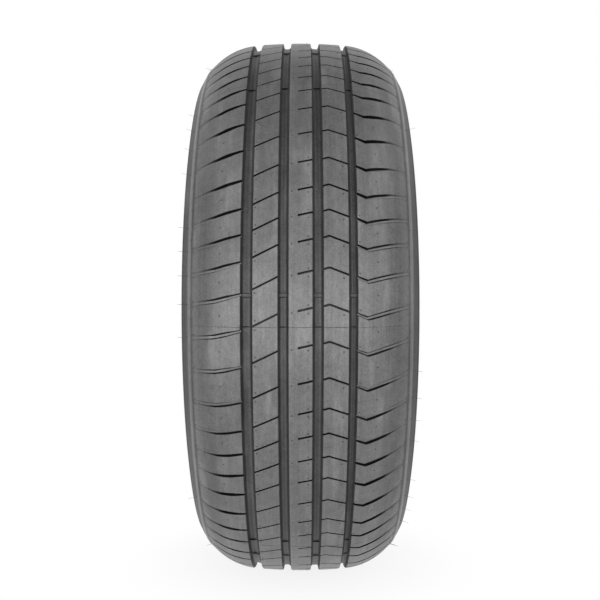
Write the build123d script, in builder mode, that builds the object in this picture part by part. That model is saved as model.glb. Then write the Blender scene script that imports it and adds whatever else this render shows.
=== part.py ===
from build123d import *
import os
from math import asin, cos, radians, sin, sqrt, tan

# A car tyre of the size 225/45 R17: one moulded piece with four grooves round the tread and
# slots across its five ribs. Millimetres. The origin is the wheel's centre, the axle lies
# along Y and +Z is up. Seen from +X the tread faces the viewer, with +Y on the right.

# Section
rim_seat_diameter = 436.6
section_height = 98.85
section_width = 225.0
bead_spacing = 190.5

# Tread arc, shoulder arc and sidewall bulge
crown_radius = 550.0
shoulder_radius = 76.0
shoulder_angle = 54.5
sidewall_bulge = 7.5

# Wall
crown_thickness = 13.6
sidewall_thickness = 10.5
liner_flat_width = 100.0
liner_foot_height = 33.2
liner_neck_height = 16.0
liner_neck_inset = 2.5

# Bead, with heights from the rim seat and reaches from the heel
protector_height = 22.0
protector_reach = 13.5
flange_height = 18.0
flange_reach = 10.0
bead_face_height = 9.5
bead_width = 16.5
heel_size = 5.0
toe_size = 2.5

# Grooves round the tread, from left to right
groove_1_middle = -47.4
groove_1_width = 10.4
groove_2_middle = -15.2
groove_2_width = 9.2
groove_3_middle = 15.5
groove_3_width = 9.2
groove_4_middle = 46.4
groove_4_width = 7.4
groove_depth = 5.8
groove_wall_angle = 10.0

# Wear bars across the groove floors
wear_bar_height = 1.6
wear_bar_length = 5.0
wear_bar_rows = 6
wear_bar_angle = -1.9

# Thin sipes across the middle ribs, as places across the tread and rises up it
sipe_width = 1.2
sipe_depth = 4.8
rib_2_rises = (-16.6, -5.0)
rib_3_slit_start = (-2.5, -3.1)
rib_4_peak = (25.9, 2.8)
rib_4_end_rise = -3.6

# Wider slots across the shoulders, in three legs from a groove to a shallow end. The lengths
# of the first and last leg are given, and the rises at the ends of all three.
slot_width = 3.0
slot_mouth_width = 2.0
slot_mouth_depth = 1.8
slot_end_depth = 0.3
slot_end_inset = 7.0
left_slot_legs = (7.4, 20.6)
left_slot_rises = (-20.6, -22.2, -26.2, -28.7)
right_slot_legs = (8.7, 9.6)
right_slot_rises = (-5.0, -8.0, -1.0, 1.2)

# Slots follow each other at three spacings, in an uneven order that spreads the tread's noise
pitch_short = 24.9
pitch_medium = 28.7
pitch_long = 32.8
pitch_order = "SSSMLLMSSMLLLMSSSMMSMSLMLLSMSSMLLSSMMLMSSLLSMMSLLMSSSMLLMSMSLLSSMLMLMS"
first_slot_angle = -55.7

# Radii and distances that follow from the sizes
seat_radius = rim_seat_diameter / 2
outer_radius = seat_radius + section_height
liner_radius = outer_radius - crown_thickness
half_width = section_width / 2
shoulder_edge = half_width - sidewall_bulge
liner_edge = half_width - sidewall_thickness
heel = bead_spacing / 2
toe = heel - bead_width
wall_lean = groove_depth * tan(radians(groove_wall_angle))
grooves = [
    (middle - width / 2, middle + width / 2)
    for middle, width in (
        (groove_1_middle, groove_1_width),
        (groove_2_middle, groove_2_width),
        (groove_3_middle, groove_3_width),
        (groove_4_middle, groove_4_width),
    )
]

# The shoulder arc runs on from the crown arc, and the sidewall arc from the shoulder arc
shoulder_sine = sin(radians(shoulder_angle))
shoulder_centre_y = shoulder_edge - shoulder_radius * shoulder_sine
crown_edge = shoulder_centre_y / (1 - shoulder_radius / crown_radius)
crown_centre = outer_radius - crown_radius
crown_angle = asin(crown_edge / crown_radius)
shoulder_centre_r = crown_centre + (crown_radius - shoulder_radius) * cos(crown_angle)
sidewall_radius = sidewall_bulge / (1 - shoulder_sine)


def tread_radius(y):
    """Radius of the tread's surface at a distance y from the middle of the tread."""
    if abs(y) <= crown_edge:
        return crown_centre + sqrt(crown_radius**2 - y**2)
    return shoulder_centre_r + sqrt(shoulder_radius**2 - (abs(y) - shoulder_centre_y) ** 2)


def turned(angle):
    """A turn of so many degrees about the axle, which moves the tread's front downwards."""
    return Location((0, 0, 0), (0, angle, 0))


def wear_bar_turns():
    """The turn of each row of wear bars, evenly round the tyre."""
    return [turned(wear_bar_angle + 360 * row / wear_bar_rows) for row in range(wear_bar_rows)]


def slot_turns():
    """The turn of each row of slots, with the spacings filling the whole round."""
    spacing = {"S": pitch_short, "M": pitch_medium, "L": pitch_long}
    whole_round = sum(spacing[letter] for letter in pitch_order)
    turns = []
    angle = first_slot_angle
    for letter in pitch_order:
        turns.append(turned(angle))
        angle += 360 * spacing[letter] / whole_round
    return turns


# What is cut away for one row of slots, at the front of the tyre
rib_overrun = 1.5 * wall_lean
mouth_overrun = 3 * wall_lean
slot_end = shoulder_edge - slot_end_inset
with BuildPart() as slots:
    with BuildSketch(Plane.YZ.offset(outer_radius - sipe_depth)):
        with BuildLine():
            Line(
                (grooves[0][1] - rib_overrun, rib_2_rises[0]),
                (grooves[1][0] + rib_overrun, rib_2_rises[1]),
            )
        trace(line_width=sipe_width)
        with BuildLine():
            Polyline(
                rib_3_slit_start,
                (grooves[2][0], 0),
                rib_4_peak,
                (grooves[3][0] + rib_overrun, rib_4_end_rise),
            )
        trace(line_width=sipe_width)
    extrude(amount=2 * sipe_depth, dir=(1, 0, 0))

    for side, mouth, legs, rises in (
        (-1, -grooves[0][0], left_slot_legs, left_slot_rises),
        (1, grooves[-1][1], right_slot_legs, right_slot_rises),
    ):
        # The floor is straight under the round shoulder, so the slot is deepest in its middle
        mouth_radius = tread_radius(mouth) - slot_mouth_depth
        fall = mouth_radius - tread_radius(slot_end) + slot_end_depth
        length = slot_end - mouth
        across = Vector(-side * fall, length, 0)
        outwards = Vector(length, side * fall, 0)
        floor = Plane(origin=(mouth_radius, side * mouth, 0), x_dir=across, z_dir=outwards)
        stretch = side * across.length / length
        places = [-mouth_overrun, legs[0], length - legs[1], length]
        route = [(stretch * place, rise) for place, rise in zip(places, rises)]
        with BuildSketch(floor):
            with BuildLine():
                Line(route[0], route[1])
            trace(line_width=slot_mouth_width)
            with BuildLine():
                Polyline(*route[1:])
            trace(line_width=slot_width)
        extrude(amount=2 * groove_depth, dir=outwards)

# One row of wear bars at the front of the tyre, each let into its groove's floor and walls
with BuildPart() as wear_bars:
    for left, right in grooves:
        middle = (left + right) / 2
        with Locations((tread_radius(middle) - groove_depth, middle, 0)):
            Box(2 * wear_bar_height, right - left, wear_bar_length)

with BuildPart() as tyre:
    with BuildSketch(Plane.XY):
        with BuildLine():
            tread = []
            for left, right in grooves:
                tread += [
                    (tread_radius(left), left),
                    (tread_radius(left) - groove_depth, left + wall_lean),
                    (tread_radius(right) - groove_depth, right - wall_lean),
                    (tread_radius(right), right),
                ]
            Polyline(*tread)
            for start, end in ((grooves[0][0], -shoulder_edge), (grooves[-1][1], shoulder_edge)):
                middle = (start + end) / 2
                shoulder = ThreePointArc(
                    (tread_radius(start), start),
                    (tread_radius(middle), middle),
                    (tread_radius(end), end),
                )
            # The right-hand sidewall, bead and liner, then the same on the left
            protector = (seat_radius + protector_height, heel + protector_reach)
            upper = JernArc(shoulder @ 1, shoulder % 1, sidewall_radius, 90 - shoulder_angle)
            lower = TangentArc(upper @ 1, protector, tangent=upper % 1)
            bead = Polyline(
                protector,
                (seat_radius + flange_height, heel + flange_reach),
                (seat_radius + bead_face_height, heel),
                (seat_radius + heel_size, heel),
                (seat_radius, heel - heel_size),
                (seat_radius, toe + toe_size),
                (seat_radius + toe_size, toe),
                (seat_radius + liner_neck_height, heel - liner_neck_inset),
                (seat_radius + liner_foot_height, liner_edge),
            )
            flat_end = (liner_radius, liner_flat_width / 2)
            corner = TangentArc(flat_end, bead @ 1, tangent=(0, 1))
            mirror([upper, lower, bead, corner], about=Plane.XZ)
            Line(flat_end, (liner_radius, -liner_flat_width / 2))
        make_face()
    revolve(axis=Axis.Y)
    with Locations(*wear_bar_turns()):
        add(wear_bars.part)
    with Locations(*slot_turns()):
        add(slots.part, mode=Mode.SUBTRACT, clean=False)

tyre.part.label = "tyre"
os.makedirs("parts", exist_ok=True)
export_step(tyre.part, "parts/tyre.step")
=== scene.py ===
# %% [markdown]
# # A car tyre, cell by cell
# This script dresses a car tyre that stands upright, with its tread towards the camera.
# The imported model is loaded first. It is the frame: every piece below is in metres and in
# its place, with the wheel's centre at the origin, the axle along Y and +Z up.

# %% Load the frame
from math import asin, cos, pi, radians, sin, sqrt

import bmesh
import bpy
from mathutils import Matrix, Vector


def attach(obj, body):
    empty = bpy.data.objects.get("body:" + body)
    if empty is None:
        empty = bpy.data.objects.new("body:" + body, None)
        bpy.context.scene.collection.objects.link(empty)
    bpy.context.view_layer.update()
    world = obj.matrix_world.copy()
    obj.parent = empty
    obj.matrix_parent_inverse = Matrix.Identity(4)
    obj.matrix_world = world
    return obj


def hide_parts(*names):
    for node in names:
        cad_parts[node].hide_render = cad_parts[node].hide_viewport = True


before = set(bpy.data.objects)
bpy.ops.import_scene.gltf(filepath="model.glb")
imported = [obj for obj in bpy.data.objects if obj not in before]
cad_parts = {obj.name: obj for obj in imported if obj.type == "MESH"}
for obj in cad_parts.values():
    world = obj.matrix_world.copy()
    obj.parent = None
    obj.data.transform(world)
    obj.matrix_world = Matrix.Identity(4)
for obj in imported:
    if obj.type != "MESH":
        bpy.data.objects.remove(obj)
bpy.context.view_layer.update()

# %% [markdown]
# ## The tread's curve
# Cut through, a tread is a shallow arc from groove to groove, and a tighter arc takes over at
# the shoulders. It could be drawn by hand as a curve object, but a formula is exact and lets
# each groove, slot and mark below ask where the surface is and which way it faces. Sizes are
# in millimetres here and become metres when a mesh is made.

# %% Tread curve
MM = 0.001
TREAD_RADIUS = 316.85
CROWN_RADIUS = 550.0
SHOULDER_RADIUS = 76.0
CROWN_EDGE = 50.6

crown_centre = TREAD_RADIUS - CROWN_RADIUS
crown_angle = asin(CROWN_EDGE / CROWN_RADIUS)
shoulder_y = CROWN_EDGE - SHOULDER_RADIUS * sin(crown_angle)
shoulder_r = crown_centre + (CROWN_RADIUS - SHOULDER_RADIUS) * cos(crown_angle)


def surface(y):
    """Radius of the tread at y, and the angle by which it leans outwards there."""
    if abs(y) <= CROWN_EDGE:
        return crown_centre + sqrt(CROWN_RADIUS**2 - y**2), asin(y / CROWN_RADIUS)
    lean = asin((abs(y) - shoulder_y) / SHOULDER_RADIUS)
    return shoulder_r + SHOULDER_RADIUS * cos(lean), lean if y > 0 else -lean


def below(y, depth):
    """The point (radius, y) at a depth under the tread, square to its surface."""
    r, lean = surface(y)
    return r - depth * cos(lean), y - depth * sin(lean)


print("shoulder radius at 100 mm:", round(surface(100)[0], 2))

# %% [markdown]
# ## The line of slots
# Across the tread runs a broken line of slots: a bent slot in each shoulder, thin cuts in the
# three middle ribs. The line repeats seventy times round the wheel. Its place is given as a
# drop down the tread at each distance from the middle, and between these knots it is straight.
# Depth and width change along it too: the cut in the middle rib starts blind, and the shoulder
# slots get shallow at their outer ends.

# %% Slot line
LINE_KNOTS = [
    (-99.0, 29.7), (-77.4, 27.0), (-53.0, 21.1), (-41.9, 16.5), (-19.3, 5.2), (-2.5, 3.1),
    (10.9, 0.0), (20.0, -1.1), (25.9, -2.8), (41.9, 3.3), (50.4, 5.6), (60.0, 9.6),
    (88.4, 1.8), (98.1, -0.8),
]
GROOVES = [(-53.1, -42.6), (-19.9, -10.6), (10.9, 20.5), (43.2, 50.9)]
CUT_HALF, CUT_DEPTH, CUT_EDGE = 0.8, 4.0, 0.3
SLOT_EDGE, SLOT_EDGE_PART = 0.3, 3
SLOT_HALVES = [(0.0, 1.2), (7.0, 1.5), (13.0, 2.1)]
SLOT_DEPTHS = [
    (50.0, 2.6), (57.0, 3.2), (66.0, 3.1), (76.0, 2.3), (84.0, 1.2), (91.0, 0.6), (97.6, 0.2),
]
SLOT_END = SLOT_DEPTHS[-1][0]
BLIND_STRETCH = (-11.6, -2.4)


def between(knots, x):
    """The value at x on straight stretches between knots, held level beyond both ends."""
    if x <= knots[0][0]:
        return knots[0][1]
    for (x0, v0), (x1, v1) in zip(knots, knots[1:]):
        if x <= x1:
            return v0 + (v1 - v0) * (x - x0) / (x1 - x0)
    return knots[-1][1]


def drop(y):
    """How far down the tread the slot line is at y."""
    return between(LINE_KNOTS, y)


def slot(y):
    """Half width, depth and edge rounding of the slot at y."""
    mouth = -GROOVES[0][0] if y < 0 else GROOVES[-1][1]
    if abs(y) >= mouth:
        half = between(SLOT_HALVES, abs(y) - mouth)
        depth = between(SLOT_DEPTHS, abs(y)) if abs(y) < SLOT_END else 0.0
        return half, depth, min(SLOT_EDGE, depth / SLOT_EDGE_PART)
    if BLIND_STRETCH[0] < y < BLIND_STRETCH[1]:
        return CUT_HALF, 0.0, 0.0
    return CUT_HALF, CUT_DEPTH, CUT_EDGE


print("slot depth in the shoulders:", [round(slot(y)[1], 2) for y in (52, 60, 75, 90, 97)])

# %% [markdown]
# ## Stations across the tread
# A station is one point of the tyre's section, with what the slot does there. The mesh joins
# each station to the next, so stations stand close where the shape turns (groove edges and
# floors) and far apart where it is plain. Each station has a rule for where a depth lies, so
# that a slot can run out through a groove's leaning wall.

# %% Tread stations
GROOVE_DEPTH = 5.8
GROOVE_LEAN = 1.02
RIB_EDGE = 0.5
FLOOR_CURVE, FOOT_RISE, FOOT_REACH = 1.8, 0.2, 0.45
JUST_INSIDE = 0.01
RIDGE, RIDGE_HALF, RIDGE_HEIGHT = 101.6, 1.8, 0.6
# Edge and ridge tones above 1 are painted highlights; the flank tone is painted shade at the
# ridge's feet.
RIB_TONE, EDGE_PAINTED_HIGHLIGHT, RIDGE_FOOT_PAINTED_SHADE, RIDGE_PAINTED_HIGHLIGHT = 1.0, 1.05, 0.6, 1.17
# Groove walls, feet, corners and floors are darker: painted shade in the groove.
GROOVE_WALL_PAINTED_SHADE, GROOVE_FOOT_PAINTED_SHADE, GROOVE_CORNER_PAINTED_SHADE, GROOVE_FLOOR_PAINTED_SHADE = 0.22, 0.42, 0.68, 0.56
# The darker band on each shoulder is painted shade.
SHOULDER_PAINTED_SHADE = [(74.0, 1.0), (83.0, 0.84), (90.0, 0.82), (95.0, 0.9), (98.0, 0.95)]


def rib_station(y, tone=RIB_TONE, base=0.0):
    """A station on a rib, a shoulder or the ridge. A band on each shoulder is darker, as painted
    shade.
    """
    half, deep, edge = slot(y)
    tone *= between(SHOULDER_PAINTED_SHADE, abs(y))
    return {
        "place": lambda depth: below(y, depth), "base": base, "line": drop(y),
        "half": half, "deep": deep, "edge": edge, "tone": tone,
    }


def wall_station(edge_y, way, depth, shift, tone, cut):
    """A station on a groove's wall or floor. way is 1 where the groove lies towards +Y."""
    half, deep, edge = slot(edge_y - way * JUST_INSIDE)
    if not cut:
        deep, edge = 0.0, 0.0
    top = surface(edge_y)[0]

    def place(d):
        return top - d, edge_y + way * (GROOVE_LEAN * d / GROOVE_DEPTH + shift)

    y = place(depth)[1]
    return {
        "place": place, "base": depth, "line": drop(y),
        "half": half, "deep": deep, "edge": edge, "tone": tone,
    }


def groove_stations(left, right):
    """Stations from a groove's left edge over its floor to its right edge."""
    foot_depth, foot_shift = GROOVE_DEPTH - FOOT_RISE * FLOOR_CURVE, FOOT_REACH * FLOOR_CURVE
    walls = []
    for edge_y, way in ((left, 1), (right, -1)):
        # From a rib edge with a painted highlight, each wall runs down through painted shade to
        # the floor.
        walls.append([
            rib_station(edge_y - way * RIB_EDGE, EDGE_PAINTED_HIGHLIGHT),
            wall_station(edge_y, way, RIB_EDGE, 0.0, GROOVE_WALL_PAINTED_SHADE, True),
            wall_station(edge_y, way, GROOVE_DEPTH - FLOOR_CURVE, 0.0, GROOVE_WALL_PAINTED_SHADE, False),
            wall_station(edge_y, way, foot_depth, foot_shift, GROOVE_FOOT_PAINTED_SHADE, False),
            wall_station(edge_y, way, GROOVE_DEPTH, FLOOR_CURVE, GROOVE_CORNER_PAINTED_SHADE, False),
        ])
    to_middle = (right - left) / 2 - GROOVE_LEAN
    middle = wall_station(left, 1, GROOVE_DEPTH, to_middle, GROOVE_FLOOR_PAINTED_SHADE, False)
    return walls[0] + [middle] + walls[1][::-1]


RIB_PLACES = [
    [-97.5, -95.5, -92.0, -88.0, -84.0, -80.5, -77.4, -73.0, -69.0, -65.0, -61.4, -60.0, -56.5],
    [-38.0, -31.0, -24.0],
    [-6.5, -2.9, -2.5, -2.3, 1.0, 6.0],
    [23.0, 25.9, 29.0, 36.0],
    [54.5, 58.8, 60.0, 63.0, 66.5, 70.5, 74.5, 78.5, 82.0, 85.2, 88.4, 91.5, 94.5, 96.4, 97.5],
]


def ridge_stations(side):
    """The low moulded ridge that ends the tread, from the tread outwards."""
    inner, outer = RIDGE - RIDGE_HALF, RIDGE + RIDGE_HALF
    # The crest carries a painted highlight and its feet painted shade.
    return [
        rib_station(side * inner, RIDGE_FOOT_PAINTED_SHADE),
        rib_station(side * (inner + RIDGE_HEIGHT), RIDGE_PAINTED_HIGHLIGHT, -RIDGE_HEIGHT),
        rib_station(side * (outer - RIDGE_HEIGHT), RIDGE_PAINTED_HIGHLIGHT, -RIDGE_HEIGHT),
        rib_station(side * outer, RIDGE_FOOT_PAINTED_SHADE),
    ]


tread = ridge_stations(-1)[::-1]
for number, places in enumerate(RIB_PLACES):
    tread += [rib_station(y) for y in places]
    if number < len(GROOVES):
        tread += groove_stations(*GROOVES[number])
tread += ridge_stations(1)
print("tread stations:", len(tread))

# %% [markdown]
# ## Stations down the sides and round the inside
# Below the ridge a tyre is plain: a bulging sidewall with two thin rings, the lip that guards
# the rim, the bead that grips the rim, and the smooth air side. A curve with handles could follow
# this section, but arcs and a few rounded corners keep to round numbers that can be measured. The
# left side is the right side mirrored.

# %% Side stations
SIDE_TONE, LINER_TONE, RING_TONE = 0.56, 0.6, 0.75
# Just below the ridge the side is darker, as painted shade.
BELOW_RIDGE_PAINTED_SHADE = [(105.0, 0.55), (108.0, 0.38), (112.0, 0.42)]
LOWER_TONES = [(0.0, SIDE_TONE)]
RING_HALF, RING_HEIGHT = 0.8, 0.5
UPPER_STEPS, LOWER_STEPS, RING_STEP = 7, 5, 3
SIDE_EDGE, HALF_WIDTH = 105.0, 112.1
CORNER_STEPS, CORNER_REACH = 3, 0.45
LIP = (240.3, 108.6, 2.0)
BEAD = [
    (236.3, 105.1, 1.5), (227.8, 95.3, 3.0), (218.5, 95.2, 4.5), (218.5, 78.9, 2.0),
    (234.3, 92.7, 6.0), (251.6, 102.0, 12.0),
]
BEAD_FACE_Y, BEAD_FACE_RADIUS = 95.0, 250.0
LINER_RADIUS, LINER_CORNER, LINER_EDGE = 303.5, 52.0, 102.0
LINER_STEPS, LINER_MIDWAY = 8, 25.5


def rounded(corners):
    """A path through corners of (radius, y, rounding), with an arc at each inner corner."""
    path = [Vector(corners[0][:2])]
    for before, here, after in zip(corners, corners[1:], corners[2:]):
        point = Vector(here[:2])
        back = Vector(before[:2]) - point
        ahead = Vector(after[:2]) - point
        reach = min(here[2], CORNER_REACH * back.length, CORNER_REACH * ahead.length)
        start = point + back.normalized() * reach
        end = point + ahead.normalized() * reach
        for step in range(CORNER_STEPS + 1):
            t = step / CORNER_STEPS
            path.append(start * (1 - t) ** 2 + point * 2 * t * (1 - t) + end * t**2)
    path.append(Vector(corners[-1][:2]))
    return path


def arc_points(centre, radius, angles, ring_at, tones):
    """Points (radius, y, tone) along an arc of the sidewall, with a thin raised ring at one."""
    points = []
    for angle in angles:
        stops = [(angle, 0.0)]
        if angle == ring_at:
            half = RING_HALF / radius
            stops = [(angle - half, 0.0), (angle, RING_HEIGHT), (angle + half, 0.0)]
        for a, rise in stops:
            r = centre[0] + (radius + rise) * cos(a)
            y = centre[1] + (radius + rise) * sin(a)
            points.append((r, y, RING_TONE if rise else between(tones, y)))
    return points


def side_path():
    """Points (radius, y, tone) from below the right ridge to the middle of the air side."""
    top, lean = surface(SIDE_EDGE)
    upper = (HALF_WIDTH - SIDE_EDGE) / (1 - sin(lean))
    widest = top - upper * cos(lean)
    fall, inset = widest - LIP[0], HALF_WIDTH - LIP[1]
    lower = (fall**2 + inset**2) / (2 * inset)
    centre = (widest, HALF_WIDTH - upper)
    angles = [lean + (pi / 2 - lean) * step / UPPER_STEPS for step in range(UPPER_STEPS + 1)]
    points = arc_points(centre, upper, angles, angles[RING_STEP], BELOW_RIDGE_PAINTED_SHADE)
    centre = (widest, HALF_WIDTH - lower)
    angles = [pi / 2 + asin(fall * step / LOWER_STEPS / lower) for step in range(1, LOWER_STEPS)]
    points += arc_points(centre, lower, angles, angles[RING_STEP - 1], LOWER_TONES)
    liner_start = (LINER_RADIUS - LINER_CORNER, LINER_EDGE, 0)
    for spot in rounded([(*points[-1][:2], 0), LIP, *BEAD, liner_start])[1:-1]:
        outside = spot.y > BEAD_FACE_Y and spot.x < BEAD_FACE_RADIUS
        points.append((spot.x, spot.y, SIDE_TONE if outside else LINER_TONE))
    for step in range(LINER_STEPS + 1):
        a = pi / 2 * step / LINER_STEPS
        r = LINER_RADIUS - LINER_CORNER * (1 - sin(a))
        points.append((r, LINER_EDGE - LINER_CORNER * (1 - cos(a)), LINER_TONE))
    points.append((LINER_RADIUS, LINER_MIDWAY, LINER_TONE))
    return points


right_side = side_path()
left_line, right_line = LINE_KNOTS[0][1], LINE_KNOTS[-1][1]
middle_line = (right_line + left_line) / 2
sides = [{"point": (r, y), "line": right_line, "tone": tone} for r, y, tone in right_side]
sides.append({"point": (LINER_RADIUS, 0.0), "line": middle_line, "tone": LINER_TONE})
sides += [{"point": (r, -y), "line": left_line, "tone": tone} for r, y, tone in right_side[::-1]]
print("side stations:", len(sides))

# %% [markdown]
# ## One pitch of the tyre, laid flat
# A pitch is the stretch from one slot line to the next. The whole tyre is this one piece
# repeated, so only one is built by hand: a sheet whose X is the radius and whose Y is the place
# across the tyre. How far round the wheel a vertex lies is kept in two attributes. Share is its
# part of the pitch, from 0 to 1, which stretches with long and short pitches. Fixed is a distance
# that never stretches, so that all slots keep one width. A third attribute, tone, scales the
# rubber's colour and carries painted light and shade: paler edges and ridges, darker grooves, cuts
# and shoulder bands. On the tread a pitch has eleven columns, on the sides three, and faces with
# more corners join the two.

# %% Pitch cell
INNER_SHARES = (1 / 3, 2 / 3)
SIDE_SHARES = (0.0, *INNER_SHARES, 1.0)
JOINED_COLUMNS = ((range(0, 6), (0, 1)), (range(5, 7), (1, 2)), (range(6, 12), (2, 3)))
FLAT_EDGE = 0.3
FULL_SHADE_DEPTH = 2.0
# Cut floors get painted shade and slot floors a slight painted highlight; the walls of both get
# painted shade, and the shares place it across the cut.
WALL_SHADE, CUT_FLOOR_PAINTED_SHADE, SLOT_FLOOR_PAINTED_HIGHLIGHT = 0.03, 0.45, 1.05
CUT_SHARES = (0.25, 0.4, 0.25, 0.4)
SLOT_SHARES = (0.3, 0.38, 0.54, 0.62)


def tread_columns(station):
    """One station's vertices round the pitch: (place, share, fixed, tone)."""
    base, line, half, edge = station["base"], station["line"], station["half"], station["edge"]
    floor, wall = base, base
    if station["deep"] > 0:
        floor, wall = max(base, station["deep"]), max(base, edge)
    rim = half + max(edge, FLAT_EDGE)
    # The deeper a cut, the more painted shade its walls and cut floors get, and the paler its slot
    # floor is painted.
    shade = min(1.0, (floor - base) / FULL_SHADE_DEPTH)
    thin = half == CUT_HALF
    tone = station["tone"]
    painted_floor_tone = tone + ((CUT_FLOOR_PAINTED_SHADE if thin else SLOT_FLOOR_PAINTED_HIGHLIGHT) - tone) * shade
    painted_wall_shade = tone + (WALL_SHADE - tone) * shade
    upper_floor, upper_foot, lower_floor, lower_foot = CUT_SHARES if thin else SLOT_SHARES
    spot = station["place"]
    rows = [(spot(floor), 0.0, line, painted_floor_tone)]
    rows.append((spot(floor), 0.0, line + lower_floor * half, painted_floor_tone))
    rows.append((spot(floor), 0.0, line + lower_foot * half, painted_wall_shade))
    rows.append((spot(wall), 0.0, line + half, painted_wall_shade))
    rows.append((spot(base), 0.0, line + rim, tone))
    rows += [(spot(base), share, line, tone) for share in INNER_SHARES]
    rows.append((spot(base), 1.0, line - rim, tone))
    rows.append((spot(wall), 1.0, line - half, painted_wall_shade))
    rows.append((spot(floor), 1.0, line - upper_foot * half, painted_wall_shade))
    rows.append((spot(floor), 1.0, line - upper_floor * half, painted_floor_tone))
    rows.append((spot(floor), 1.0, line, painted_floor_tone))
    return rows


def side_columns(station):
    """The same for a station of the sides, with its three columns and the closing one."""
    point, line, tone = station["point"], station["line"], station["tone"]
    return [(point, share, line, tone) for share in SIDE_SHARES]


def flat_mesh(name, rows, faces):
    """A mesh laid flat from rows of (place, share, fixed, tone), with its attributes."""
    mesh = bpy.data.meshes.new(name)
    mesh.from_pydata([(r * MM, y * MM, 0.0) for (r, y), _, _, _ in rows], [], faces)
    for label, values in (
        ("share", [row[1] for row in rows]),
        ("fixed", [row[2] * MM for row in rows]),
        ("tone", [row[3] for row in rows]),
    ):
        mesh.attributes.new(label, "FLOAT", "POINT").data.foreach_set("value", values)
    return mesh


rows, starts = [], []
for columns in [tread_columns(s) for s in tread] + [side_columns(s) for s in sides]:
    starts.append((len(rows), len(columns)))
    rows += columns
faces = []
for (a, a_count), (b, b_count) in zip(starts, starts[1:] + starts[:1]):
    if a_count == b_count:
        faces += [(a + i, a + i + 1, b + i + 1, b + i) for i in range(a_count - 1)]
        continue
    wide, narrow = (a, b) if a_count > b_count else (b, a)
    turn = 1 if wide == a else -1
    for fine, coarse in JOINED_COLUMNS:
        loop = [wide + i for i in fine] + [narrow + i for i in coarse[::-1]]
        faces.append(loop[::turn])
pitch_mesh = flat_mesh("pitch", rows, faces)
print("one pitch:", len(rows), "vertices", len(faces), "faces")

# %% [markdown]
# ## Nodes that wrap the pitches round the wheel
# A tread repeats, but its pitches differ in length so that the tyre hums less. An Array
# modifier can't vary the length. Geometry Nodes can: one point stands for each pitch and
# carries its start and its span as angles, the flat cell is instanced on every point, and once
# the instances are real, one Set Position bends each vertex to its own angle. The same tree
# wraps everything else that sits on the tread.

# %% Wrapping tree
wrap = bpy.data.node_groups.new("wrap_round_wheel", "GeometryNodeTree")
wrap.is_modifier = True
wrap.interface.new_socket("Points", in_out="INPUT", socket_type="NodeSocketGeometry")
wrap_inputs = {}
for label, kind in (
    ("Cell", "NodeSocketObject"), ("Wheel radius", "NodeSocketFloat"),
    ("Merge distance", "NodeSocketFloat"), ("Material", "NodeSocketMaterial"),
):
    socket = wrap.interface.new_socket(label, in_out="INPUT", socket_type=kind)
    wrap_inputs[label] = socket.identifier
wrap.interface.new_socket("Geometry", in_out="OUTPUT", socket_type="NodeSocketGeometry")


def node(tree, kind, **settings):
    """A new node in a tree, with its settings."""
    made = tree.nodes.new(kind)
    for key, value in settings.items():
        setattr(made, key, value)
    return made


def named(tree, label):
    """The output of a named attribute that holds one number at each point."""
    made = node(tree, "GeometryNodeInputNamedAttribute", data_type="FLOAT")
    made.inputs["Name"].default_value = label
    return made.outputs["Attribute"]


def maths(tree, operation, first, second=None):
    """The result of one sum, product or the like. Inputs are sockets or numbers."""
    made = node(tree, "ShaderNodeMath", operation=operation)
    for socket, value in zip(made.inputs, (first, second)):
        if value is None:
            continue
        if isinstance(value, (int, float)):
            socket.default_value = value
        else:
            tree.links.new(value, socket)
    return made.outputs[0]


given = node(wrap, "NodeGroupInput")
cell = node(wrap, "GeometryNodeObjectInfo", transform_space="ORIGINAL")
on_points = node(wrap, "GeometryNodeInstanceOnPoints")
real = node(wrap, "GeometryNodeRealizeInstances")
bend = node(wrap, "GeometryNodeSetPosition")
merge = node(wrap, "GeometryNodeMergeByDistance")
paint = node(wrap, "GeometryNodeSetMaterial")
result = node(wrap, "NodeGroupOutput")
place = node(wrap, "ShaderNodeSeparateXYZ")
bent = node(wrap, "ShaderNodeCombineXYZ")
stretch = maths(wrap, "MULTIPLY", named(wrap, "share"), named(wrap, "span"))
fixed_turn = maths(wrap, "DIVIDE", named(wrap, "fixed"), given.outputs["Wheel radius"])
angle = maths(wrap, "ADD", maths(wrap, "ADD", stretch, named(wrap, "start")), fixed_turn)
forward = maths(wrap, "MULTIPLY", place.outputs["X"], maths(wrap, "COSINE", angle))
down = maths(wrap, "MULTIPLY", place.outputs["X"], maths(wrap, "SINE", angle))
for source, target in (
    (node(wrap, "GeometryNodeInputPosition").outputs[0], place.inputs[0]),
    (forward, bent.inputs["X"]),
    (place.outputs["Y"], bent.inputs["Y"]),
    (maths(wrap, "MULTIPLY", down, -1.0), bent.inputs["Z"]),
    (given.outputs["Points"], on_points.inputs["Points"]),
    (given.outputs["Cell"], cell.inputs["Object"]),
    (cell.outputs["Geometry"], on_points.inputs["Instance"]),
    (on_points.outputs["Instances"], real.inputs["Geometry"]),
    (real.outputs["Geometry"], bend.inputs["Geometry"]),
    (bent.outputs[0], bend.inputs["Position"]),
    (bend.outputs["Geometry"], merge.inputs["Geometry"]),
    (given.outputs["Merge distance"], merge.inputs["Distance"]),
    (merge.outputs["Geometry"], paint.inputs["Geometry"]),
    (given.outputs["Material"], paint.inputs["Material"]),
    (paint.outputs["Geometry"], result.inputs["Geometry"]),
):
    wrap.links.new(source, target)
print("wrapping tree:", len(wrap.nodes), "nodes")

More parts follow.
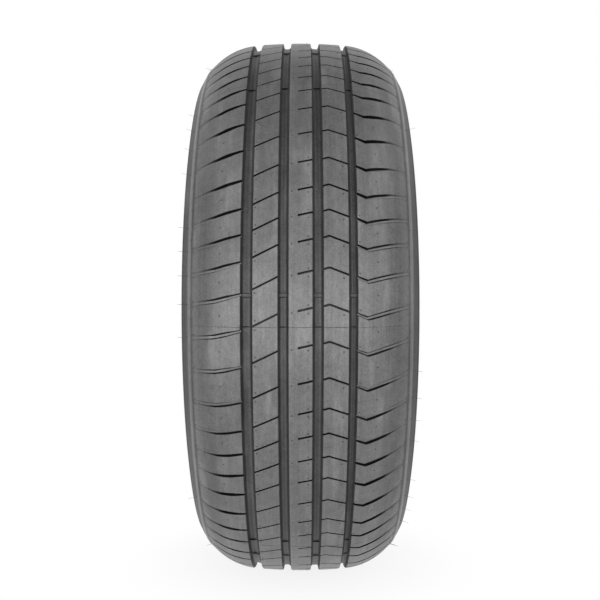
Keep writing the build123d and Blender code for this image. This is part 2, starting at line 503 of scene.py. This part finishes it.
# %% [markdown]
# ## The rubber
# Tread rubber is a matt dark grey with a broad, soft shine and a trace of dust. The mould leaves
# faint streaks round the ribs. Light and shade are painted into its colour too: block edges and
# ridges carry a painted highlight; grooves, cuts, bars, mould lines and a band on each shoulder
# carry painted shade. A picture wrapped round the tyre could show this, but nodes stay sharp at
# any distance, so one procedural material serves the whole moulding. It reads the tone that each
# vertex carries, which also sets the specular level, so that painted shade dims the shine too.
# Noise on Object coordinates adds streaks along the way the tyre rolls, soft clouds, pale scuffs
# and a fine grain. The ridges have the highest tone, and there the rubber is polished.

# %% Rubber material
RUBBER = (0.118, 0.118, 0.12)
SHINE, SHINE_POWER, DUST = 0.5, 2.0, 0.1
ROUGHNESS, POLISH_FROM, POLISH = 0.45, 1.1, 4.0
STREAKS, STREAK_DETAIL = [((12.0, 420.0, 12.0), 0.25), ((6.0, 90.0, 6.0), 0.3)], 3.0
CLOUDS, CLOUD_DETAIL = [(30.0, 0.3), (160.0, 0.3), (700.0, 0.6)], 4.0
SCUFF_SCALES, SCUFF_DETAIL = (16.0, 70.0, 16.0), 8.0
SCUFF_FROM, SCUFF_TO, SCUFF = 0.56, 0.74, 0.6
GRAIN_SCALE, GRAIN_DETAIL, GRAIN_STRENGTH, GRAIN_HEIGHT = 1400.0, 2.0, 0.12, 0.0003
NOISE_MEAN = 0.5


def noise(tree, vector, scale, detail):
    """The output of a noise texture on a vector."""
    made = node(tree, "ShaderNodeTexNoise")
    made.inputs["Scale"].default_value = scale
    made.inputs["Detail"].default_value = detail
    tree.links.new(vector, made.inputs["Vector"])
    return made.outputs[0]


def stretched(tree, vector, scales):
    """A vector with a scale of its own along each axis."""
    made = node(tree, "ShaderNodeMapping")
    made.inputs["Scale"].default_value = scales
    tree.links.new(vector, made.inputs["Vector"])
    return made.outputs[0]


def rubber(name):
    """A rubber material with painted light and shade from the tone attribute, uneven by noise."""
    material = bpy.data.materials.new(name)
    material.use_nodes = True
    tree = material.node_tree
    shader = tree.nodes["Principled BSDF"]
    place = node(tree, "ShaderNodeTexCoord").outputs["Object"]
    layers = []
    for scales, share in STREAKS:
        layers.append((noise(tree, stretched(tree, place, scales), 1.0, STREAK_DETAIL), share))
    for scale, share in CLOUDS:
        layers.append((noise(tree, place, scale, CLOUD_DETAIL), share))
    uneven = 1.0
    for layer, share in layers:
        part = maths(tree, "SUBTRACT", layer, NOISE_MEAN)
        uneven = maths(tree, "ADD", maths(tree, "MULTIPLY", part, 2 * share), uneven)
    scuffed = node(tree, "ShaderNodeMapRange")
    for label, value in (("From Min", SCUFF_FROM), ("From Max", SCUFF_TO), ("To Max", SCUFF)):
        scuffed.inputs[label].default_value = value
    patches = noise(tree, stretched(tree, place, SCUFF_SCALES), 1.0, SCUFF_DETAIL)
    tree.links.new(patches, scuffed.inputs["Value"])
    uneven = maths(tree, "ADD", uneven, scuffed.outputs["Result"])
    # The tone attribute holds painted light and shade: highlights on edges and ridges, shade in
    # grooves, cuts, bars, mould lines and shoulder bands.
    tone = node(tree, "ShaderNodeAttribute", attribute_name="tone").outputs["Fac"]
    colour = node(tree, "ShaderNodeVectorMath", operation="SCALE")
    colour.inputs[0].default_value = RUBBER
    tree.links.new(maths(tree, "MULTIPLY", tone, uneven), colour.inputs["Scale"])
    tree.links.new(colour.outputs[0], shader.inputs["Base Color"])
    # The tone also sets the specular level, so painted shade dims the shine in grooves and cuts.
    gloss = maths(tree, "MULTIPLY", maths(tree, "POWER", tone, SHINE_POWER), SHINE)
    tree.links.new(gloss, shader.inputs["Specular IOR Level"])
    polished = maths(tree, "MAXIMUM", maths(tree, "SUBTRACT", tone, POLISH_FROM), 0.0)
    rough = maths(tree, "SUBTRACT", ROUGHNESS, maths(tree, "MULTIPLY", polished, POLISH))
    tree.links.new(rough, shader.inputs["Roughness"])
    shader.inputs["Sheen Weight"].default_value = DUST
    grain = node(tree, "ShaderNodeBump")
    grain.inputs["Strength"].default_value = GRAIN_STRENGTH
    grain.inputs["Distance"].default_value = GRAIN_HEIGHT
    tree.links.new(noise(tree, place, GRAIN_SCALE, GRAIN_DETAIL), grain.inputs["Height"])
    tree.links.new(grain.outputs[0], shader.inputs["Normal"])
    return material


tread_rubber = rubber("tread_rubber")
print("material:", tread_rubber.name)

# %% [markdown]
# ## The tyre
# Each letter below is one pitch: short, medium or long. The order is uneven on purpose, as on
# real tyres. A mesh of bare vertices carries the start and span of each pitch to the tree. The
# evaluated result becomes a plain mesh, its open edges are counted, and it replaces the plain
# solid. Pitches are merged where they meet. Small pieces repeat without touching, so for them
# the merge distance is next to nothing.

# %% Tyre
PITCH_LENGTHS = {"S": 24.9, "M": 28.7, "L": 32.8}
PITCH_ORDER = "SSSMLLMSSMLLLMSSSMMSMSLMLLSMSSMLLSSMMLMSSLLSMMSLLMSSSMLLMSMSLLSSMLMLMS"
FIRST_SLOT = radians(-55.7)
PITCH_MERGE, SMALL_MERGE = 1e-5, 1e-7
SHARP_ANGLE = radians(38)
LITRES = 1000


def angle_points(name, starts, spans):
    """An object of bare vertices that carry angles for the wrapping tree."""
    mesh = bpy.data.meshes.new(name)
    mesh.from_pydata([(0.0, 0.0, 0.0)] * len(starts), [], [])
    mesh.attributes.new("start", "FLOAT", "POINT").data.foreach_set("value", starts)
    mesh.attributes.new("span", "FLOAT", "POINT").data.foreach_set("value", spans)
    made = bpy.data.objects.new(name, mesh)
    bpy.context.scene.collection.objects.link(made)
    return made


def wrapped(name, cell_mesh, starts, spans=None, merge_distance=SMALL_MERGE):
    """Wraps a flat cell round the wheel with the tree, and returns it as a plain mesh object."""
    cell_object = bpy.data.objects.new(name + "_cell", cell_mesh)
    bpy.context.scene.collection.objects.link(cell_object)
    made = angle_points(name, starts, spans or [0.0] * len(starts))
    modifier = made.modifiers.new("wrap", "NODES")
    modifier.node_group = wrap
    for label, value in (
        ("Cell", cell_object), ("Wheel radius", TREAD_RADIUS * MM),
        ("Merge distance", merge_distance), ("Material", tread_rubber),
    ):
        modifier[wrap_inputs[label]] = value
    graph = bpy.context.evaluated_depsgraph_get()
    plain = bpy.data.meshes.new_from_object(made.evaluated_get(graph))
    made.modifiers.clear()
    made.data = plain
    bpy.data.objects.remove(cell_object)
    shape = bmesh.new()
    shape.from_mesh(plain)
    bmesh.ops.recalc_face_normals(shape, faces=shape.faces)
    shape.to_mesh(plain)
    open_edges = sum(len(edge.link_faces) != 2 for edge in shape.edges)
    volume = shape.calc_volume(signed=True)
    shape.free()
    plain.shade_smooth()
    plain.set_sharp_from_angle(angle=SHARP_ANGLE)
    triangles = sum(len(face.vertices) - 2 for face in plain.polygons)
    litres = round(volume * LITRES, 3)
    print(name, triangles, "triangles", open_edges, "open edges", litres, "litres")
    return made


whole = sum(PITCH_LENGTHS[letter] for letter in PITCH_ORDER)
pitch_spans = [2 * pi * PITCH_LENGTHS[letter] / whole for letter in PITCH_ORDER]
pitch_starts = [FIRST_SLOT + sum(pitch_spans[:i]) for i in range(len(pitch_spans))]
tyre = wrapped("moulded_tyre", pitch_mesh, pitch_starts, pitch_spans, PITCH_MERGE)
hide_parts("tyre")
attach(tyre, "root")

# %% [markdown]
# ## Wear bars
# Six times round the tyre a low bar crosses every groove floor. When the tread is worn down to
# the bars, the tyre is due for a change. A box would do, but a bar with sloping ends, as wide as
# the groove at its own height, looks moulded in. The wrapping tree repeats the row of four.

# %% Wear bars
BAR_TOP_HALF, BAR_FOOT_HALF, BAR_HEIGHT = 1.3, 2.4, 1.6
BAR_SINK = 0.3
BAR_TURN = radians(-1.9)
BAR_ROWS = 6
# The bars are painted darker than the ribs and nearly black at their feet, as painted shade in the
# groove.
BAR_PAINTED_SHADE, BAR_FOOT_PAINTED_SHADE = 0.62, 0.08
BAR_PROFILE = [
    (GROOVE_DEPTH + BAR_SINK, -BAR_FOOT_HALF, BAR_FOOT_PAINTED_SHADE),
    (GROOVE_DEPTH - BAR_HEIGHT, -BAR_TOP_HALF, BAR_PAINTED_SHADE),
    (GROOVE_DEPTH - BAR_HEIGHT, BAR_TOP_HALF, BAR_PAINTED_SHADE),
    (GROOVE_DEPTH + BAR_SINK, BAR_FOOT_HALF, BAR_FOOT_PAINTED_SHADE),
]
BAR_INSETS = (-BAR_SINK, FLOOR_CURVE)


def capped_tube(first, rings, corners):
    """Faces of a closed tube of rings of corners, numbered from the first vertex on."""
    faces = []
    for a in range(first, first + (rings - 1) * corners, corners):
        b = a + corners
        for i in range(corners):
            j = (i + 1) % corners
            faces.append((a + i, a + j, b + j, b + i))
    last = first + (rings - 1) * corners
    faces.append(tuple(range(first, first + corners))[::-1])
    faces.append(tuple(range(last, last + corners)))
    return faces


rows, faces = [], []
for left, right in GROOVES:
    ends = [(left, 1, inset) for inset in BAR_INSETS]
    ends += [(right, -1, inset) for inset in BAR_INSETS[::-1]]
    faces += capped_tube(len(rows), len(ends), len(BAR_PROFILE))
    for edge_y, way, inset in ends:
        for depth, fixed, tone in BAR_PROFILE:
            y = edge_y + way * (GROOVE_LEAN * depth / GROOVE_DEPTH + inset)
            spot = (surface(edge_y)[0] - depth, y)
            rows.append((spot, 0.0, fixed, tone if inset > 0 else GROOVE_WALL_PAINTED_SHADE))
bar_starts = [BAR_TURN + 2 * pi * row / BAR_ROWS for row in range(BAR_ROWS)]
wear_bars = wrapped("wear_bars", flat_mesh("bars", rows, faces), bar_starts)
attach(wear_bars, "root")

# %% [markdown]
# ## Mould lines
# The mould that presses the tread opens in sectors, and a little rubber creeps into each joint.
# That leaves a fine raised line across the ribs and the groove floors. Three of the lines are
# seen from the front, the rest are spread over the hidden part. A dark line in the material would
# do from afar, and the lines are painted dark: a painted shadow, faint on the ribs and nearly
# black on the groove floors. A real ridge also catches the light, so each line is also a thin
# closed ridge with three corners, laid along the surface.

# %% Mould lines
LINE_SINK, LINE_CORNERS = 0.2, 3
LINE_STEP, FEWEST_STEPS = 4.0, 3
# Both tones are painted shadow: the rib lines a little dark, the floor lines nearly black.
LINE_HALF, LINE_HEIGHT, LINE_PAINTED_SHADOW = 0.5, 0.12, 0.55
FLOOR_LINE_HALF, FLOOR_LINE_HEIGHT, FLOOR_LINE_PAINTED_SHADOW = 0.6, 1.2, 0.08
LINE_ANGLES = [-43.9, 3.3, 50.2, 94.5, 138.8, 183.1, 227.5, 271.8]


def ridge_strip(spots, half, height, tone):
    """Rows of a three-cornered ridge along spots, each a rule for where a depth lies."""
    corners = ((LINE_SINK, -half), (-height, 0.0), (LINE_SINK, half))
    return [(spot(depth), 0.0, fixed, tone) for spot in spots for depth, fixed in corners]


def on_rib(y):
    """A spot on a rib, as a rule for where a depth lies."""
    return lambda depth: below(y, depth)


def on_floor(y, top):
    """The same for a groove's floor under a tread radius."""
    return lambda depth: (top - GROOVE_DEPTH - depth, y)


groove_edges = [edge for groove in GROOVES for edge in groove]
rib_ends = [-RIDGE + RIDGE_HALF, *groove_edges, RIDGE - RIDGE_HALF]
strips = []
for start, end in zip(rib_ends[::2], rib_ends[1::2]):
    start, end = start + RIB_EDGE, end - RIB_EDGE
    steps = max(FEWEST_STEPS, round((end - start) / LINE_STEP))
    spots = [on_rib(start + (end - start) * i / steps) for i in range(steps + 1)]
    strips.append(ridge_strip(spots, LINE_HALF, LINE_HEIGHT, LINE_PAINTED_SHADOW))
for left, right in GROOVES:
    middle = (left + right) / 2
    top = surface(middle)[0]
    spots = [on_floor(y, top) for y in (left + GROOVE_LEAN, middle, right - GROOVE_LEAN)]
    strips.append(ridge_strip(spots, FLOOR_LINE_HALF, FLOOR_LINE_HEIGHT, FLOOR_LINE_PAINTED_SHADOW))
rows, faces = [], []
for strip in strips:
    faces += capped_tube(len(rows), len(strip) // LINE_CORNERS, LINE_CORNERS)
    rows += strip
line_starts = [radians(angle) for angle in LINE_ANGLES]
mould_lines = wrapped("mould_lines", flat_mesh("lines", rows, faces), line_starts)
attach(mould_lines, "root")

# %% [markdown]
# ## Vent marks
# Air leaves the mould through pin holes, and a stub of rubber stays at each. On this tread the
# stubs are cut short, so they show as small dark dots beside the slots, in the middle of the
# shoulder blocks and along the ridges. They repeat with the pitch, so they go through the same
# tree. There are hundreds of them, so each has only eight faces.

# %% Vent marks
MARK_RADIUS, MARK_TOP_RADIUS, MARK_HEIGHT, MARK_SINK = 1.0, 0.7, 0.15, 0.1
MARK_SIDES = 6
MARK_TONE = 0.54
MARKS = [
    (69.0, 0.45, 0.0), (-72.0, 0.45, 0.0), (52.8, 0.0, -4.3), (7.0, 0.0, 4.3), (7.0, 0.0, -3.2),
    (-40.2, 0.0, -4.0), (-40.2, 0.0, 4.2), (38.5, 0.0, 4.6), (-7.8, 0.0, 0.8),
    (97.4, 0.0, -2.6), (97.4, 0.0, 2.6), (-97.4, 0.0, -2.6), (-97.4, 0.0, 2.6),
]
rows, faces = [], []
for y, share, offset in MARKS:
    rings = ((MARK_SINK, MARK_RADIUS), (-MARK_HEIGHT, MARK_TOP_RADIUS))
    faces += capped_tube(len(rows), len(rings), MARK_SIDES)
    for depth, size in rings:
        for corner in range(MARK_SIDES):
            turn = 2 * pi * corner / MARK_SIDES
            across = y + size * cos(turn) * cos(surface(y)[1])
            fixed = drop(y) + offset + size * sin(turn)
            rows.append((below(across, depth), share, fixed, MARK_TONE))
mark_mesh = flat_mesh("marks", rows, faces)
vent_marks = wrapped("vent_marks", mark_mesh, pitch_starts, pitch_spans)
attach(vent_marks, "root")

# %% [markdown]
# ## Whiskers
# The mould is vented at the ends of the slots too, and there the rubber stays on as hair-thin
# whiskers. They could be drawn as curves with a thickness, but a spike with four sides is enough
# at this size. Each grows sideways out of the ridge and stays within the tyre's width. Many break
# off in handling, so lists say which pitches still have one.

# %% Whiskers
WHISKER_ROOT, WHISKER_TIP = (286.8, 101.6), (290.5, 112.1)
WHISKER_ROOT_HALF, WHISKER_TIP_HALF = 0.22, 0.12
WHISKER_TONE = 0.6
HIDDEN_FROM, HIDDEN_TO, BROKEN_EVERY = 24, 66, 3
HIDDEN_PITCHES = [number for number in range(HIDDEN_FROM, HIDDEN_TO) if number % BROKEN_EVERY]
FRONT_PITCHES = {
    "left_whiskers": (-1, [2, 3, 4, 5, 7, 8, 9, 10, 11, 18]),
    "right_whiskers": (1, [4, 13, 14, 15, 16, 18, 19, 20, 21]),
}
for name, (side, front_pitches) in FRONT_PITCHES.items():
    rows = []
    line = drop(side * RIDGE)
    ends = ((WHISKER_ROOT, WHISKER_ROOT_HALF), (WHISKER_TIP, WHISKER_TIP_HALF))
    for (r, y), size in ends:
        for rise, offset in ((size, 0.0), (0.0, size), (-size, 0.0), (0.0, -size)):
            rows.append(((r + rise, side * y), 0.0, line + offset, WHISKER_TONE))
    faces = capped_tube(0, len(ends), len(rows) // len(ends))
    whisker_mesh = flat_mesh(name, rows, faces)
    whisker_starts = [pitch_starts[number] for number in front_pitches + HIDDEN_PITCHES]
    whiskers = wrapped(name, whisker_mesh, whisker_starts)
    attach(whiskers, "root")

# %% [markdown]
# ## Floor
# The tyre stands on a white floor that runs into a white background, as in a product picture.
# A lit floor alone would come out grey in places. So to the camera and to reflections it is plain
# white, and close to the tyre the lit floor shows through, so that the shadow under the tread
# stays and fades out within a quarter of a metre.

# %% Floor
FLOOR_Z = -TREAD_RADIUS * MM
FLOOR_HALF = 9.0
FLOOR_GREY, FLOOR_ROUGHNESS = (0.86, 0.86, 0.86, 1), 0.9
SHADOW_REACH, SHADOW_SHARE = 0.24, 0.16


def white_rays(tree, mirrored_share=1.0):
    """1 for rays from the camera or through glass, a share for mirrored rays, else 0."""
    rays = node(tree, "ShaderNodeLightPath").outputs
    seen = maths(tree, "MAXIMUM", rays["Is Camera Ray"], rays["Is Transmission Ray"])
    mirrored = maths(tree, "MULTIPLY", rays["Is Glossy Ray"], mirrored_share)
    return maths(tree, "MAXIMUM", seen, mirrored)


def blend(tree, share, first, second, output):
    """Mixes two shaders by a share and links the result to the output node."""
    mix = node(tree, "ShaderNodeMixShader")
    tree.links.new(share, mix.inputs["Fac"])
    tree.links.new(first, mix.inputs[1])
    tree.links.new(second, mix.inputs[2])
    tree.links.new(mix.outputs[0], output.inputs["Surface"])


h = FLOOR_HALF
floor_mesh = bpy.data.meshes.new("floor")
floor_mesh.from_pydata([(-h, -h, 0), (h, -h, 0), (h, h, 0), (-h, h, 0)], [], [(0, 1, 2, 3)])
floor = bpy.data.objects.new("floor", floor_mesh)
floor.location.z = FLOOR_Z
bpy.context.scene.collection.objects.link(floor)
pale = bpy.data.materials.new("pale_floor")
pale.use_nodes = True
tree = pale.node_tree
pale_shader = tree.nodes["Principled BSDF"]
pale_shader.inputs["Base Color"].default_value = FLOOR_GREY
pale_shader.inputs["Roughness"].default_value = FLOOR_ROUGHNESS
glow = node(tree, "ShaderNodeEmission")
glow.inputs["Strength"].default_value = 1.0
away = node(tree, "ShaderNodeVectorMath", operation="LENGTH")
tree.links.new(node(tree, "ShaderNodeTexCoord").outputs["Object"], away.inputs[0])
fade = node(tree, "ShaderNodeMapRange", interpolation_type="SMOOTHSTEP")
fade.inputs["From Max"].default_value = SHADOW_REACH
fade.inputs["To Min"].default_value = 1 - SHADOW_SHARE
fade.inputs["To Max"].default_value = 1.0
tree.links.new(away.outputs["Value"], fade.inputs["Value"])
share = maths(tree, "MULTIPLY", white_rays(tree), fade.outputs["Result"])
blend(tree, share, pale_shader.outputs[0], glow.outputs[0], tree.nodes["Material Output"])
floor_mesh.materials.append(pale)
print("floor at height", round(FLOOR_Z, 4))

# %% [markdown]
# ## Light
# A weak even surround fills the shadows. One small lamp would leave the slots black, so the light
# comes from wide soft ones. A lamp in front adds the broad shine down the middle of the tread. Two
# weaker ones, higher on the right and low on the left, shape the shoulders, and two small strips
# above touch the upper edges. Rubber mirrors its surroundings mostly at a flat angle, so the white
# background shows as a pale edge along the top and the foot of the tyre. The ceiling is left dark
# in mirrored rays, or it would wash out the upper part of the tread.

# %% Light
WHITE = (1, 1, 1, 1)
SURROUND = 0.07
WHITE_UP_TO, DARK_FROM = 0.7, 1.0
SOFTBOXES = {
    "front_softbox": ((2.2, 0.0, -0.15), 1.6, 0.9, 32.5),
    "right_softbox": ((1.3, 1.4, 0.4), 1.0, 1.0, 8.0),
    "left_softbox": ((1.6, -1.2, -0.16), 0.8, 0.3, 12.0),
    "upper_left_strip": ((0.3, -1.3, 1.5), 0.4, 0.2, 2.0),
    "upper_right_strip": ((0.3, 1.3, 1.5), 0.4, 0.2, 2.0),
}
world = bpy.data.worlds.new("studio")
bpy.context.scene.world = world
world.use_nodes = True
tree = world.node_tree
sky = tree.nodes["Background"]
sky.inputs["Color"].default_value = WHITE
sky.inputs["Strength"].default_value = SURROUND
white = node(tree, "ShaderNodeBackground")
white.inputs["Color"].default_value = WHITE
white.inputs["Strength"].default_value = 1.0
way = node(tree, "ShaderNodeSeparateXYZ")
tree.links.new(node(tree, "ShaderNodeTexCoord").outputs["Generated"], way.inputs[0])
low_part = node(tree, "ShaderNodeMapRange", interpolation_type="SMOOTHSTEP")
for label, value in (
    ("From Min", WHITE_UP_TO), ("From Max", DARK_FROM), ("To Min", 1.0), ("To Max", 0.0),
):
    low_part.inputs[label].default_value = value
tree.links.new(way.outputs["Z"], low_part.inputs["Value"])
share = white_rays(tree, low_part.outputs["Result"])
blend(tree, share, sky.outputs[0], white.outputs[0], tree.nodes["World Output"])
for name, (spot, width, height, watts) in SOFTBOXES.items():
    lamp = bpy.data.lights.new(name, "AREA")
    lamp.shape = "RECTANGLE"
    lamp.size, lamp.size_y, lamp.energy = width, height, watts
    lamp_object = bpy.data.objects.new(name, lamp)
    lamp_object.location = spot
    lamp_object.rotation_euler = (-lamp_object.location).to_track_quat("-Z", "Y").to_euler()
    bpy.context.scene.collection.objects.link(lamp_object)
    print(name, "watts", watts)

# %% [markdown]
# ## Camera
# The camera looks straight at the tread from about a metre, level with the axle. Its focal
# length is worked out in pixels of a square picture, which is how it is measured in a photograph.

# %% Camera
SENSOR_WIDTH, CLIP_START = 36.0, 0.05
FRAME_PIXELS = 600
FOCAL_PIXELS = 817.0
CAMERA_DISTANCE = 1.0332
CAMERA_YAW = radians(0.1)
CENTRE_RIGHT, CENTRE_DROP = 1.0, 6.9
camera = bpy.data.cameras.new("camera")
camera.sensor_width = SENSOR_WIDTH
camera.lens = SENSOR_WIDTH * FOCAL_PIXELS / FRAME_PIXELS
camera.shift_x = -CENTRE_RIGHT / FRAME_PIXELS
camera.shift_y = CENTRE_DROP / FRAME_PIXELS
camera.clip_start = CLIP_START
camera_object = bpy.data.objects.new("camera", camera)
camera_object.location = CAMERA_DISTANCE * Vector((cos(CAMERA_YAW), sin(CAMERA_YAW), 0.0))
camera_object.rotation_euler = (-camera_object.location).to_track_quat("-Z", "Y").to_euler()
bpy.context.scene.collection.objects.link(camera_object)
bpy.context.scene.camera = camera_object
bpy.context.scene.view_settings.view_transform = "Standard"
print("camera at", tuple(camera_object.location), "lens", round(camera.lens, 2))
